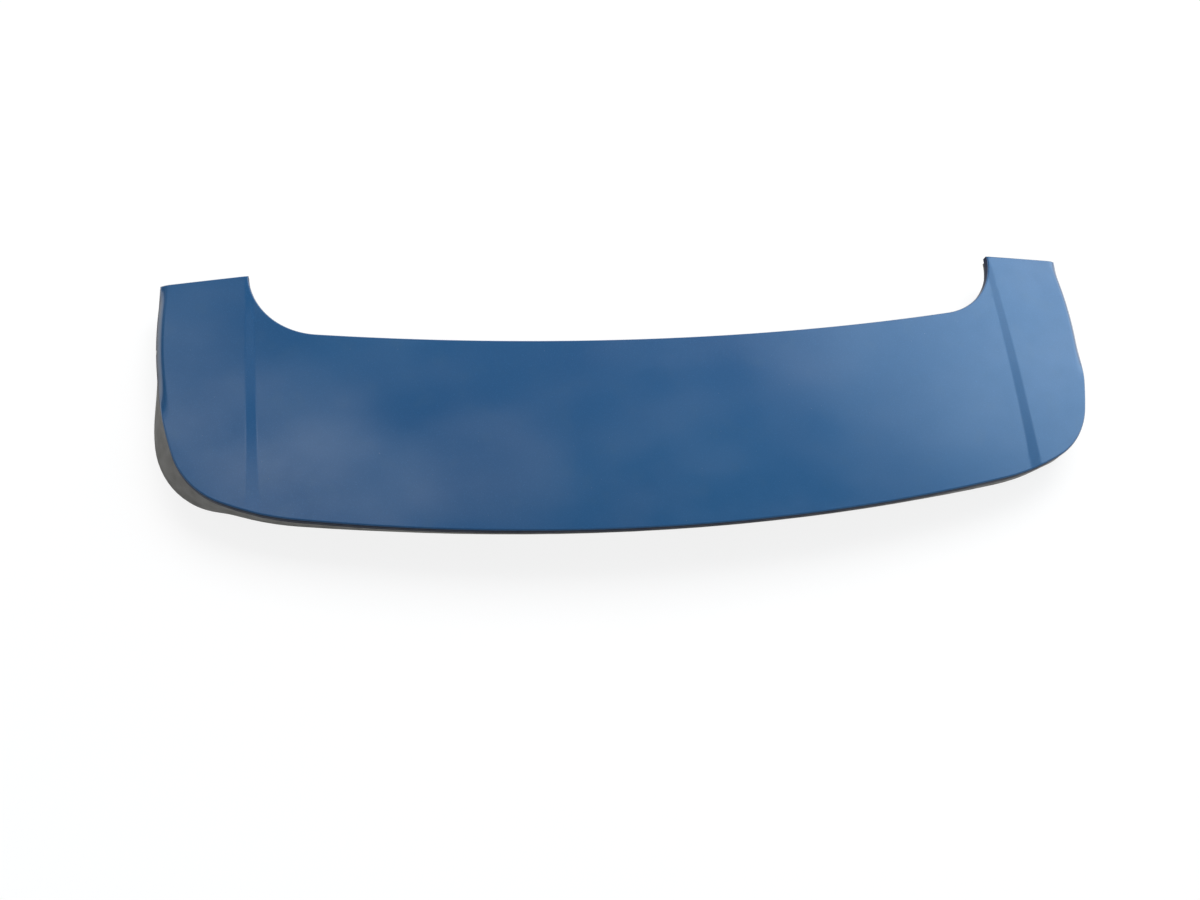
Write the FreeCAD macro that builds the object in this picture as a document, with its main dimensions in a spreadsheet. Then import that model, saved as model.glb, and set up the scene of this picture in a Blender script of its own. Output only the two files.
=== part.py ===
"""Tailgate spoiler: a painted upper shell over a grey lower shell with its studs, clips and seals.

Frame: +X to the right, +Y towards the front of the car, +Z up.
The origin is the middle of the inner stud pair, half way down the free length of the studs.
"""
import FreeCAD, Part
import math
import os
import Sketcher
from FreeCAD import Vector

SIZES = {
    # outline of the painted panel, seen from above
    "half_width": 575.0, "side_radius": 528.0, "side_centre_y": 84.4,
    "corner_radius": 98.0, "quarter_radius": 330.0, "quarter_start_x": 421.0,
    "trail_radius": 2308.0, "trail_y": -185.7,
    "tip_outer_y": 156.3, "tip_inner_x": 468.3, "tip_inner_y": 160.8,
    "notch_radius": 89.0, "front_radius": 2668.0, "front_y": 47.2,
    # top surface
    "top_level": 61.0, "crown": 33.6, "chord_sag": 5.5, "chord_unit": 150.0,
    "crease_x": 467.0, "crease_half_front": 5.5, "crease_half_rear": 8.5,
    "crease_step_front": 0.9, "crease_step_rear": 1.5, "crease_ease": 0.16,
    "roll_width": 11.0, "roll_drop": 11.0,
    "roll_rear_y": -20.0, "roll_rear_blend": 60.0, "roll_front_y": 168.0, "roll_front_blend": 40.0,
    # upper shell
    "skin": 3.0, "rim_depth": 10.0, "rim_wall": 2.5, "edge_radius": 1.6,
    # lower shell
    "shell_gap": 0.3, "collar_reach": 10.0, "wall": 2.8,
    "wall_flare": 4.0, "flare_top": 18.0, "flare_bottom": -34.0, "foot_spread": 11.0, "foot_side_y": 20.0,
    "trail_depth": 20.0, "middle_depth": 42.0, "horn_depth": 17.0, "deepest_y": -40.0,
    "rear_fall": 146.0, "front_fall": 60.0,
    "fin_level": -29.0, "fin_start_x": 485.0, "fin_blend": 45.0,
    "fin_front_y": 70.0, "fin_rear_y": -150.0, "fin_front_blend": 90.0, "fin_rear_blend": 60.0,
    "rib_thick": 2.2, "rib_height": 14.0, "rib_pitch": 130.0,
    # studs, their lands and seals
    "seat_level": 11.0, "inner_stud_x": 210.0, "outer_stud_x": 430.0, "outer_seat_drop": 14.3,
    "land_radius": 12.0, "land_height": 21.0, "stud_hole_radius": 4.15, "stud_shoulder_radius": 4.0,
    "stud_radius": 3.0, "stud_reach": 22.0, "stud_chamfer": 0.8,
    "stud_flange_radius": 9.0, "stud_flange_thick": 2.5,
    "stud_seal_width": 6.0, "stud_seal_thick": 5.0,
    # joining screws and their posts
    "screw_radius": 1.9, "screw_length": 14.0, "screw_head_radius": 3.8, "screw_head_thick": 2.4,
    "screw_hole_radius": 2.2, "post_radius": 4.5, "post_gap": 0.5,
    "head_pocket_radius": 4.2, "head_web": 1.6,
    # horn clips
    "clip_x": 516.0, "clip_y": 112.0, "clip_land_radius": 11.0, "clip_land_drop": 3.0,
    "clip_hole_radius": 3.6, "clip_head_radius": 9.0, "clip_head_thick": 2.2, "clip_neck_radius": 3.4,
    "clip_plug": 5.0, "clip_barb_radius": 4.6, "clip_barb_height": 6.0, "clip_shoulder": 9.0,
    "clip_length": 15.0, "clip_tip_radius": 1.6,
    # foam
    "front_seal_inset": 8.0, "front_seal_width": 9.0, "front_seal_thick": 4.0,
    "front_seal_half": 372.0, "front_seal_span": 150.0,
    "pad_x": 512.0, "pad_y": 72.0, "pad_width": 34.0, "pad_length": 26.0, "pad_thick": 3.0, "glue_gap": 0.2,
}

REACH = 300.0
SHORT_EDGE = 20.0
ON_TOP = 0.3
ROWS = [-205.0, -175.0, -140.0, -105.0, -70.0, -40.0, -15.0, 10.0, 35.0, 60.0, 85.0, 110.0, 135.0, 155.0, 175.0]
COLUMNS = [0.0, 110.0, 220.0, 320.0, 400.0, 438.0, 452.0, 456.5, 459.5, 462.0, 464.5, 467.0, 469.5, 472.0,
           474.5, 477.5, 482.0, 494.0, 510.0, 530.0, 548.0, 556.0, 561.0, 566.0, 571.0, 578.0, 590.0, 605.0]
SCREW_PLACES = [(110.0, -110.0), (300.0, -100.0), (290.0, 25.0), (100.0, 15.0)]

doc = FreeCAD.newDocument("tailgate_spoiler")
sheet = doc.addObject("Spreadsheet::Sheet", "sizes")
for row, (alias, value) in enumerate(SIZES.items(), start=1):
    sheet.set(f"A{row}", alias)
    sheet.set(f"B{row}", str(value))
    sheet.setAlias(f"B{row}", alias)
doc.recompute()


def size(alias):
    """One driving dimension, read from the sheet."""
    return float(sheet.get(alias))


def smooth(value):
    """Smooth step from 0 to 1."""
    value = min(max(value, 0.0), 1.0)
    return value * value * (3.0 - 2.0 * value)


def soft_ramp(value, ease):
    """Straight ramp from 0 to 1 with an eased share at each end."""
    value = min(max(value, 0.0), 1.0)
    if value < ease:
        return value ** 2 / (2.0 * ease * (1.0 - ease))
    if value > 1.0 - ease:
        return 1.0 - (1.0 - value) ** 2 / (2.0 * ease * (1.0 - ease))
    return (value - 0.5 * ease) / (1.0 - ease)


def crossing(centre_a, radius_a, centre_b, radius_b):
    """The two points shared by two circles."""
    gap = centre_b - centre_a
    along = (radius_a ** 2 - radius_b ** 2 + gap.Length ** 2) / (2.0 * gap.Length)
    across = math.sqrt(radius_a ** 2 - along ** 2)
    unit = Vector(gap).normalize()
    side = Vector(-unit.y, unit.x, 0.0)
    middle = centre_a + unit * along
    return middle + side * across, middle - side * across


def on_line(start, unit, centre, radius):
    """Where a line first crosses a circle."""
    offset = start - centre
    half = offset.dot(unit)
    root = math.sqrt(half ** 2 - offset.dot(offset) + radius ** 2)
    return start - unit * (half + root)


def arc(start, end, centre):
    """The short arc between two points about a centre."""
    bisector = ((start - centre) + (end - centre)).normalize()
    return Part.Arc(start, centre + bisector * (start - centre).Length, end).toShape()


def mirrored(point):
    """The point on the other side of the car's middle plane."""
    return Vector(-point.x, point.y, point.z)


def outline(inset, half_width, side_y):
    """Joints of the right half outline, set in from its edge, and the arc centres."""
    trail = Vector(0.0, size("trail_y") + size("trail_radius"), 0.0)
    swing = math.asin(size("quarter_start_x") / size("trail_radius"))
    heading = Vector(math.sin(swing), -math.cos(swing), 0.0)
    quarter = trail + heading * (size("trail_radius") - size("quarter_radius"))
    side = Vector(half_width - size("side_radius"), side_y, 0.0)
    corner = min(crossing(quarter, size("quarter_radius") - size("corner_radius"),
                          side, size("side_radius") - size("corner_radius")), key=lambda p: p.y)
    front = Vector(0.0, size("front_y") + size("front_radius"), 0.0)
    tip_inner = Vector(size("tip_inner_x"), size("tip_inner_y"), 0.0)
    notch = min(crossing(front, size("front_radius") - size("notch_radius"), tip_inner, size("notch_radius")),
                key=lambda p: p.x)
    rise = size("tip_outer_y") - side_y
    tip_outer = Vector(side.x + math.sqrt(size("side_radius") ** 2 - rise ** 2), size("tip_outer_y"), 0.0)
    unit = (tip_inner - tip_outer).normalize()
    start = tip_outer + Vector(-unit.y, unit.x, 0.0) * inset
    half = [
        trail + heading * (size("trail_radius") - inset),
        quarter + (corner - quarter).normalize() * (size("quarter_radius") - inset),
        side + (corner - side).normalize() * (size("side_radius") - inset),
        on_line(start, unit, side, size("side_radius") - inset),
        on_line(start, unit, notch, size("notch_radius") + inset),
        front + (notch - front).normalize() * (size("front_radius") + inset),
    ]
    return half, (trail, quarter, corner, side, notch, front)


def wire(inset, level, half_width, side_y):
    """Closed wire of an outline at one height."""
    half, centres = outline(inset, half_width, side_y)
    trail, quarter, corner, side, notch, front = centres
    first, second, third, fourth, fifth, sixth = half
    edges = [arc(mirrored(first), first, trail)]
    right = [arc(first, second, quarter), arc(second, third, corner), arc(third, fourth, side),
             Part.makeLine(fourth, fifth), arc(fifth, sixth, notch)]
    left = [arc(mirrored(sixth), mirrored(fifth), mirrored(notch)),
            Part.makeLine(mirrored(fifth), mirrored(fourth)),
            arc(mirrored(fourth), mirrored(third), mirrored(side)),
            arc(mirrored(third), mirrored(second), mirrored(corner)),
            arc(mirrored(second), mirrored(first), mirrored(quarter))]
    loop = Part.Wire(edges + right + [arc(sixth, mirrored(sixth), front)] + left)
    loop.translate(Vector(0.0, 0.0, level))
    return loop


def prism(inset):
    """Upright solid over the outline."""
    loop = wire(inset, -REACH, size("half_width"), size("side_centre_y"))
    return Part.Face(loop).extrude(Vector(0.0, 0.0, 2.0 * REACH))


def flared(inset):
    """Solid over the outline that spreads below the flare's top, most of all at the rear corners."""
    foot_half_width = size("half_width") + size("foot_spread")
    foot = wire(inset - size("wall_flare"), size("flare_bottom"), foot_half_width, size("foot_side_y"))
    knee = wire(inset, size("flare_top"), size("half_width"), size("side_centre_y"))
    spread = Part.makeLoft([foot, knee], True, True)
    return spread.fuse(Part.Face(knee).extrude(Vector(0.0, 0.0, REACH))).removeSplitter()


def crown_height(x, y):
    """Height of the panel before the crease and the rolled horn edge."""
    across = size("crown") * (x / size("half_width")) ** 2
    along = size("chord_sag") * (y / size("chord_unit")) ** 2
    return size("top_level") - across - along


def top_height(x, y):
    """Height of the painted surface."""
    rearward = smooth((size("tip_inner_y") - y) / (size("tip_inner_y") - size("trail_y")))
    half = size("crease_half_front") + (size("crease_half_rear") - size("crease_half_front")) * rearward
    step = size("crease_step_front") + (size("crease_step_rear") - size("crease_step_front")) * rearward
    crease = step * soft_ramp((abs(x) - size("crease_x") + half) / (2.0 * half), size("crease_ease"))
    swing = max(size("side_radius") ** 2 - (y - size("side_centre_y")) ** 2, 0.0)
    edge = size("half_width") - size("side_radius") + math.sqrt(swing)
    reach = min(max((abs(x) - edge + size("roll_width")) / size("roll_width"), 0.0), 2.0)
    window = smooth((y - size("roll_rear_y")) / size("roll_rear_blend"))
    window *= smooth((size("roll_front_y") - y) / size("roll_front_blend"))
    return crown_height(x, y) + crease - size("roll_drop") * window * reach ** 2


def floor_height(x, y):
    """Height of the lower shell's underside."""
    behind = size("deepest_y") - y
    if behind > 0.0:
        share = 1.0 - (behind / size("rear_fall")) ** 2
        depth = size("trail_depth") + (size("middle_depth") - size("trail_depth")) * share
    else:
        share = math.exp(-(behind / size("front_fall")) ** 2)
        depth = size("horn_depth") + (size("middle_depth") - size("horn_depth")) * share
    fin = smooth((abs(x) - size("fin_start_x")) / size("fin_blend"))
    fin *= smooth((size("fin_front_y") - y) / size("fin_front_blend"))
    fin *= smooth((y - size("fin_rear_y")) / size("fin_rear_blend"))
    return (crown_height(x, y) - depth) * (1.0 - fin) + size("fin_level") * fin


def sheet_face(height):
    """Face through a grid of heights that spans the whole spoiler."""
    across = [-x for x in reversed(COLUMNS[1:])] + COLUMNS
    surface = Part.BSplineSurface()
    surface.interpolate([[Vector(x, y, height(x, y)) for y in ROWS] for x in across])
    return surface.toShape()


TOP_FACE = sheet_face(top_height)
FLOOR_FACE = sheet_face(floor_height)


def under(face, drop):
    """Everything below a face that is lowered by a drop."""
    lowered = face.translated(Vector(0.0, 0.0, -drop))
    return lowered.extrude(Vector(0.0, 0.0, -REACH))


def above(face, lift):
    """Everything above a face that is raised by a lift."""
    raised = face.translated(Vector(0.0, 0.0, lift))
    return raised.extrude(Vector(0.0, 0.0, REACH))


def post(radius, x, y, low, high):
    """Upright cylinder between two heights."""
    return Part.makeCylinder(radius, high - low, Vector(x, y, low))


def rounded(block):
    """The block with its upper edge rounded all the way round."""
    rim = []
    for edge in block.Edges:
        middle = edge.valueAt(0.5 * (edge.FirstParameter + edge.LastParameter))
        if edge.Length > SHORT_EDGE and abs(middle.z - top_height(middle.x, middle.y)) < ON_TOP:
            rim.append(edge)
    return block.makeFillet(size("edge_radius"), rim)


def both_sides(places):
    """The places and their mirror images."""
    return [(side * x, y) for x, y in places for side in (-1.0, 1.0)]


def feature(name, shape):
    """A document object that holds one piece."""
    item = doc.addObject("Part::Feature", name)
    item.Label = name
    item.Shape = shape
    return item


def total(names):
    """Sum of named sizes; a name after a minus sign is taken off."""
    return sum(-size(name[1:]) if name.startswith("-") else size(name) for name in names.split())


def formula(names):
    """The same sum as an expression on the sheet."""
    signed = [f"- sizes.{name[1:]}" if name.startswith("-") else f"+ sizes.{name}" for name in names.split()]
    return "0 " + " ".join(signed)


def lathe(name, profile):
    """Body turned about Z from a closed profile of named sizes (radius, height)."""
    body = doc.addObject("PartDesign::Body", name)
    sketch = body.newObject("Sketcher::SketchObject", name + "_profile")
    plane = next(item for item in body.Origin.OriginFeatures if item.Role == "XZ_Plane")
    sketch.AttachmentSupport = [(plane, "")]
    sketch.MapMode = "FlatFace"
    values = [(total(radius), total(height)) for radius, height in profile]
    for start, end in zip(values, values[1:] + values[:1]):
        sketch.addGeometry(Part.LineSegment(Vector(*start, 0.0), Vector(*end, 0.0)), False)
    for index, names in enumerate(profile):
        sketch.addConstraint(Sketcher.Constraint("Coincident", (index - 1) % len(profile), 2, index, 1))
        for kind, axis, sum_of, value in zip(("DistanceX", "DistanceY"), (-2, -1), names, values[index]):
            if sum_of:
                number = sketch.addConstraint(Sketcher.Constraint(kind, -1, 1, index, 1, value))
                sketch.setExpression(f"Constraints[{number}]", formula(sum_of))
            else:
                sketch.addConstraint(Sketcher.Constraint("PointOnObject", index, 1, axis))
    turn = body.newObject("PartDesign::Revolution", name + "_turn")
    turn.Profile = sketch
    turn.ReferenceAxis = (sketch, ["V_Axis"])
    turn.Angle = 360.0
    body.Tip = turn
    doc.recompute()
    return body


def group(name, body, places):
    """One node of equal pieces: the body's solid at each place."""
    return feature(name, Part.makeCompound([body.Shape.translated(Vector(*place)) for place in places]))


seats = {(side * size("inner_stud_x"), 0.0): size("seat_level") for side in (-1.0, 1.0)}
outer_seat = size("seat_level") - size("outer_seat_drop")
seats.update({(side * size("outer_stud_x"), 0.0): outer_seat for side in (-1.0, 1.0)})
screws = both_sides(SCREW_PLACES)
clips = both_sides([(size("clip_x"), size("clip_y"))])
clip_seat = floor_height(size("clip_x"), size("clip_y")) - size("clip_land_drop")

# upper shell: skin and rim, with posts for the joining screws
slab = under(TOP_FACE, 0.0).cut(under(TOP_FACE, size("rim_depth")))
upper = prism(0.0).common(slab)
upper = rounded(upper).cut(prism(size("rim_wall")).common(under(TOP_FACE, size("skin"))))
for x, y in screws:
    foot = floor_height(x, y) + size("wall") + size("post_gap")
    stem = post(size("post_radius"), x, y, foot, top_height(x, y) - 0.5 * size("skin"))
    pilot = post(size("screw_radius"), x, y, foot, foot + size("screw_length"))
    upper = upper.fuse(stem).cut(pilot)
feature("upper_shell", upper.removeSplitter())

# lower shell: tub with ribs, stud lands, clip lands and screw holes
nest = size("rim_wall") + size("shell_gap")
ceiling = under(TOP_FACE, size("skin") + size("shell_gap"))
hollow = flared(nest + size("wall"))
lower = flared(nest).common(ceiling).common(above(FLOOR_FACE, 0.0))
lower = lower.cut(hollow.common(above(FLOOR_FACE, size("wall"))))
collar = prism(-size("collar_reach")).cut(prism(nest))
lower = lower.cut(collar.common(above(TOP_FACE, -size("rim_depth") - size("shell_gap"))))
rib_zone = hollow.common(above(FLOOR_FACE, 0.5 * size("wall"))).cut(above(FLOOR_FACE, size("rib_height")))
for count in (-2.5, -1.5, -0.5, 0.5, 1.5, 2.5):
    rib = Part.makeBox(size("rib_thick"), 2.0 * REACH, 2.0 * REACH,
                       Vector(count * size("rib_pitch") - 0.5 * size("rib_thick"), -REACH, -REACH))
    lower = lower.fuse(rib.common(rib_zone))
for (x, y), seat in seats.items():
    top = seat + size("land_height")
    lower = lower.fuse(post(size("land_radius"), x, y, seat, top))
    lower = lower.cut(post(size("stud_hole_radius"), x, y, seat, top))
for x, y in clips:
    top = clip_seat + size("clip_land_drop") + size("wall")
    lower = lower.fuse(post(size("clip_land_radius"), x, y, clip_seat, top))
    lower = lower.cut(post(size("clip_hole_radius"), x, y, clip_seat, top + size("wall")))
for x, y in screws:
    low = floor_height(x, y)
    web_foot = low + size("wall") - size("head_web")
    lower = lower.cut(post(size("screw_hole_radius"), x, y, low - size("wall"), low + 2.0 * size("wall")))
    lower = lower.cut(post(size("head_pocket_radius"), x, y, low - size("wall"), web_foot))
feature("lower_shell", lower.removeSplitter())

# studs, seals, screws and clips: turned bodies, each repeated in its own node
stud = lathe("stud", [
    ("", ""), ("stud_radius -stud_chamfer", ""), ("stud_radius", "stud_chamfer"),
    ("stud_radius", "stud_reach"), ("stud_shoulder_radius", "stud_reach"),
    ("stud_shoulder_radius", "stud_reach land_height"), ("stud_flange_radius", "stud_reach land_height"),
    ("stud_flange_radius", "stud_reach land_height stud_flange_thick"),
    ("", "stud_reach land_height stud_flange_thick")])
group("mounting_studs", stud, [(x, y, seat - size("stud_reach")) for (x, y), seat in seats.items()])

seal = lathe("seal", [
    ("land_radius", ""), ("land_radius stud_seal_width", ""),
    ("land_radius stud_seal_width", "stud_seal_thick"), ("land_radius", "stud_seal_thick")])
group("stud_seals", seal, [(x, y, seat) for (x, y), seat in seats.items()])

screw = lathe("screw", [
    ("", ""), ("screw_head_radius", ""), ("screw_head_radius", "screw_head_thick"),
    ("screw_radius", "screw_head_thick"), ("screw_radius", "screw_head_thick screw_length"),
    ("", "screw_head_thick screw_length")])
head_drop = size("wall") - size("head_web") - size("screw_head_thick")
group("joining_screws", screw, [(x, y, floor_height(x, y) + head_drop) for x, y in screws])

clip = lathe("clip", [
    ("", ""), ("clip_tip_radius", ""), ("clip_barb_radius", "clip_barb_height"),
    ("clip_neck_radius", "clip_shoulder"), ("clip_neck_radius", "clip_length"),
    ("clip_head_radius", "clip_length"), ("clip_head_radius", "clip_length clip_head_thick"),
    ("clip_neck_radius", "clip_length clip_head_thick"),
    ("clip_neck_radius", "clip_length clip_head_thick clip_plug"),
    ("", "clip_length clip_head_thick clip_plug")])
clip_foot = clip_seat - size("clip_length") - size("clip_head_thick")
group("horn_clips", clip, [(x, y, clip_foot) for x, y in clips])


def foam(thick):
    """Layer that follows the underside of the lower shell, a film of glue below it."""
    return above(FLOOR_FACE, -thick).cut(above(FLOOR_FACE, -size("glue_gap")))


# foam: the strip behind the front edge and a pad under each horn
inset = size("front_seal_inset")
band = prism(inset).cut(prism(inset + size("front_seal_width")))
window = Part.makeBox(2.0 * size("front_seal_half"), size("front_seal_span"), 2.0 * REACH,
                      Vector(-size("front_seal_half"), 0.0, -REACH))
feature("front_seal", band.common(window).common(foam(size("front_seal_thick"))))
pads = []
for x, y in both_sides([(size("pad_x"), size("pad_y"))]):
    corner = Vector(x - 0.5 * size("pad_width"), y - 0.5 * size("pad_length"), -REACH)
    block = Part.makeBox(size("pad_width"), size("pad_length"), 2.0 * REACH, corner)
    pads.append(block.common(foam(size("pad_thick"))).Solids[0])
feature("horn_pads", Part.makeCompound(pads))

doc.recompute()
NODES = ["upper_shell", "lower_shell", "mounting_studs", "stud_seals", "joining_screws", "horn_clips",
         "front_seal", "horn_pads"]
for item in doc.Objects:
    if "Invalid" in item.State or "Error" in item.State:
        raise RuntimeError(f"{item.Name} did not recompute")
os.makedirs("parts", exist_ok=True)
for name in NODES:
    shape = doc.getObject(name).Shape
    if shape.isNull() or not shape.isValid():
        raise RuntimeError(f"{name} is not a valid shape")
    shape.exportStep(os.path.join("parts", name + ".step"))
    print(name, len(shape.Solids), "solids", round(shape.Volume / 1000.0, 1), "cm3", shape.BoundBox)
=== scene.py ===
"""Dresses the tailgate spoiler: painted upper shell, grey lower shell, studs, clips and foam."""
import logging
import math
from dataclasses import dataclass
from enum import Enum

import bpy
from mathutils import Matrix, Vector
from mathutils.geometry import delaunay_2d_cdt


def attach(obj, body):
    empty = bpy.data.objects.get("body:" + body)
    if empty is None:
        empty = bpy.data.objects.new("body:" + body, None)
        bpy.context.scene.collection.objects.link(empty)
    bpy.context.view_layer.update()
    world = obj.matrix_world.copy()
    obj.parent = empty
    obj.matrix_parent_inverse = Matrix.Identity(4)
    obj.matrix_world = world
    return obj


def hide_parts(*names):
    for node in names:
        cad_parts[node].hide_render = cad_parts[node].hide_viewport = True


LOG = logging.getLogger("spoiler")
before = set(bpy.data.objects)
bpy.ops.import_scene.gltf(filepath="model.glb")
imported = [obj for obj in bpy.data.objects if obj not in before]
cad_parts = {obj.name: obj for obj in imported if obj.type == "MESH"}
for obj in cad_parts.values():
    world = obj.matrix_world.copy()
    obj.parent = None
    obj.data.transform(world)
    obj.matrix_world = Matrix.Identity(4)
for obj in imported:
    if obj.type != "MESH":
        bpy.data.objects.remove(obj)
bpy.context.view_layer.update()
MM = 0.001
Colour = tuple[float, float, float]
Place = tuple[float, float, float]
Span = tuple[float, float]


class Slot(Enum):
    """Material slots of the record."""

    PAINT = "blue_paint"
    PLASTIC = "grey_plastic"
    STEEL = "plated_steel"
    FOAM = "black_foam"
    CLIP = "white_plastic"


class Easing(Enum):
    """How a value runs from one end of a range to the other."""

    STRAIGHT = "LINEAR"
    EASED = "SMOOTHSTEP"
    SOFT = "SMOOTHERSTEP"


def smooth(value: float) -> float:
    """Smooth step from 0 to 1."""
    value = min(max(value, 0.0), 1.0)
    return value * value * (3.0 - 2.0 * value)


def between(limits: Span, share: float) -> float:
    """Value at a share of the way between two limits."""
    return limits[0] + (limits[1] - limits[0]) * share


def soft_ramp(value: float, ease: float) -> float:
    """Straight ramp from 0 to 1 with an eased share at each end.

    Args:
        value: place along the ramp.
        ease: share of the ramp that is rounded at each end.

    Returns:
        The ramp's height.
    """
    value = min(max(value, 0.0), 1.0)
    if value < ease:
        return value ** 2 / (2.0 * ease * (1.0 - ease))
    if value > 1.0 - ease:
        return 1.0 - (1.0 - value) ** 2 / (2.0 * ease * (1.0 - ease))
    return (value - 0.5 * ease) / (1.0 - ease)


def grey(value: float) -> Colour:
    """Colour with the same value in all three channels."""
    return value, value, value


def opaque(colour: object) -> object:
    """Adds full opacity to a plain colour, and leaves a socket as it is."""
    return (*colour, 1.0) if isinstance(colour, tuple) else colour


def stand(name: str, data: bpy.types.ID) -> bpy.types.Object:
    """Makes an object and puts it in the scene.

    Args:
        name: the object's name.
        data: its mesh, lamp or camera.

    Returns:
        The object.
    """
    item = bpy.data.objects.new(name, data)
    bpy.context.scene.collection.objects.link(item)
    return item


class ShaderNodes:
    """Short way to place and join shader nodes in one tree."""

    # Vector operations that give a number
    NUMBER_RESULTS = ("DISTANCE", "DOT_PRODUCT")

    def __init__(self, tree: bpy.types.NodeTree) -> None:
        """Works on a tree.

        Args:
            tree: the nodes of a material or of the world.
        """
        self.tree = tree

    def join(self, socket: bpy.types.NodeSocket, value: object) -> None:
        """Links a socket or sets its value.

        Args:
            socket: the input to feed.
            value: another socket, or a constant.
        """
        if isinstance(value, bpy.types.NodeSocket):
            self.tree.links.new(value, socket)
        else:
            socket.default_value = value

    def node(self, kind: str, **inputs: object) -> bpy.types.Node:
        """Adds a node and sets its inputs.

        Args:
            kind: Blender's node type.
            inputs: socket names, with spaces as underscores, to values or sockets.

        Returns:
            The new node.
        """
        item = self.tree.nodes.new(kind)
        for name, value in inputs.items():
            self.join(item.inputs[name.replace("_", " ")], value)
        return item

    def math(self, operation: str, first: object, second: object) -> bpy.types.NodeSocket:
        """Works out one number from two.

        Args:
            operation: Blender's name of the operation.
            first: number or socket.
            second: number or socket.

        Returns:
            The result.
        """
        item = self.tree.nodes.new("ShaderNodeMath")
        item.operation = operation
        self.join(item.inputs[0], first)
        self.join(item.inputs[1], second)
        return item.outputs[0]

    def vector(self, operation: str, first: object, second: object) -> bpy.types.NodeSocket:
        """Works out a vector, or a number, from two vectors.

        Args:
            operation: Blender's name of the operation.
            first: vector or socket.
            second: vector or socket.

        Returns:
            The result.
        """
        item = self.tree.nodes.new("ShaderNodeVectorMath")
        item.operation = operation
        self.join(item.inputs[0], first)
        self.join(item.inputs[1], second)
        return item.outputs["Value" if operation in self.NUMBER_RESULTS else "Vector"]

    def stretch(self, value: bpy.types.NodeSocket, source: Span = (0.0, 1.0), target: Span = (0.0, 1.0),
                easing: Easing = Easing.STRAIGHT) -> bpy.types.NodeSocket:
        """Stretches one range of a value over another.

        Args:
            value: what is stretched.
            source: range of the value.
            target: results at the ends of that range.
            easing: how the result runs between them.

        Returns:
            The stretched value.
        """
        item = self.tree.nodes.new("ShaderNodeMapRange")
        item.interpolation_type = easing.value
        self.join(item.inputs["Value"], value)
        for name, limit in zip(("From Min", "From Max", "To Min", "To Max"), (*source, *target)):
            item.inputs[name].default_value = limit
        return item.outputs["Result"]

    def upward(self, heading: bpy.types.NodeSocket) -> bpy.types.NodeSocket:
        """Upward share of a direction."""
        return self.node("ShaderNodeSeparateXYZ", Vector=heading).outputs["Z"]

    def blend(self, share: bpy.types.NodeSocket, first: bpy.types.NodeSocket,
              second: bpy.types.NodeSocket) -> bpy.types.NodeSocket:
        """Mixes two shaders.

        Args:
            share: how much of the second.
            first: a shader.
            second: another shader.

        Returns:
            The mixed shader.
        """
        item = self.tree.nodes.new("ShaderNodeMixShader")
        for socket, value in zip(item.inputs, (share, first, second)):
            self.join(socket, value)
        return item.outputs[0]

    def seen(self) -> bpy.types.NodeSocket:
        """Marks the rays by which the backdrop is seen, straight or in a mirror.

        Returns:
            1 for such a ray and 0 for the rest.
        """
        path = self.tree.nodes.new("ShaderNodeLightPath")
        total = path.outputs["Is Camera Ray"]
        for kind in ("Is Glossy Ray", "Is Transmission Ray"):
            total = self.math("MAXIMUM", total, path.outputs[kind])
        return total


@dataclass(frozen=True)
class Mottle:
    """Noise by its cells to the metre, or to a unit of direction, its octaves and the range that counts."""

    scale: float
    detail: float
    limits: Span


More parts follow.
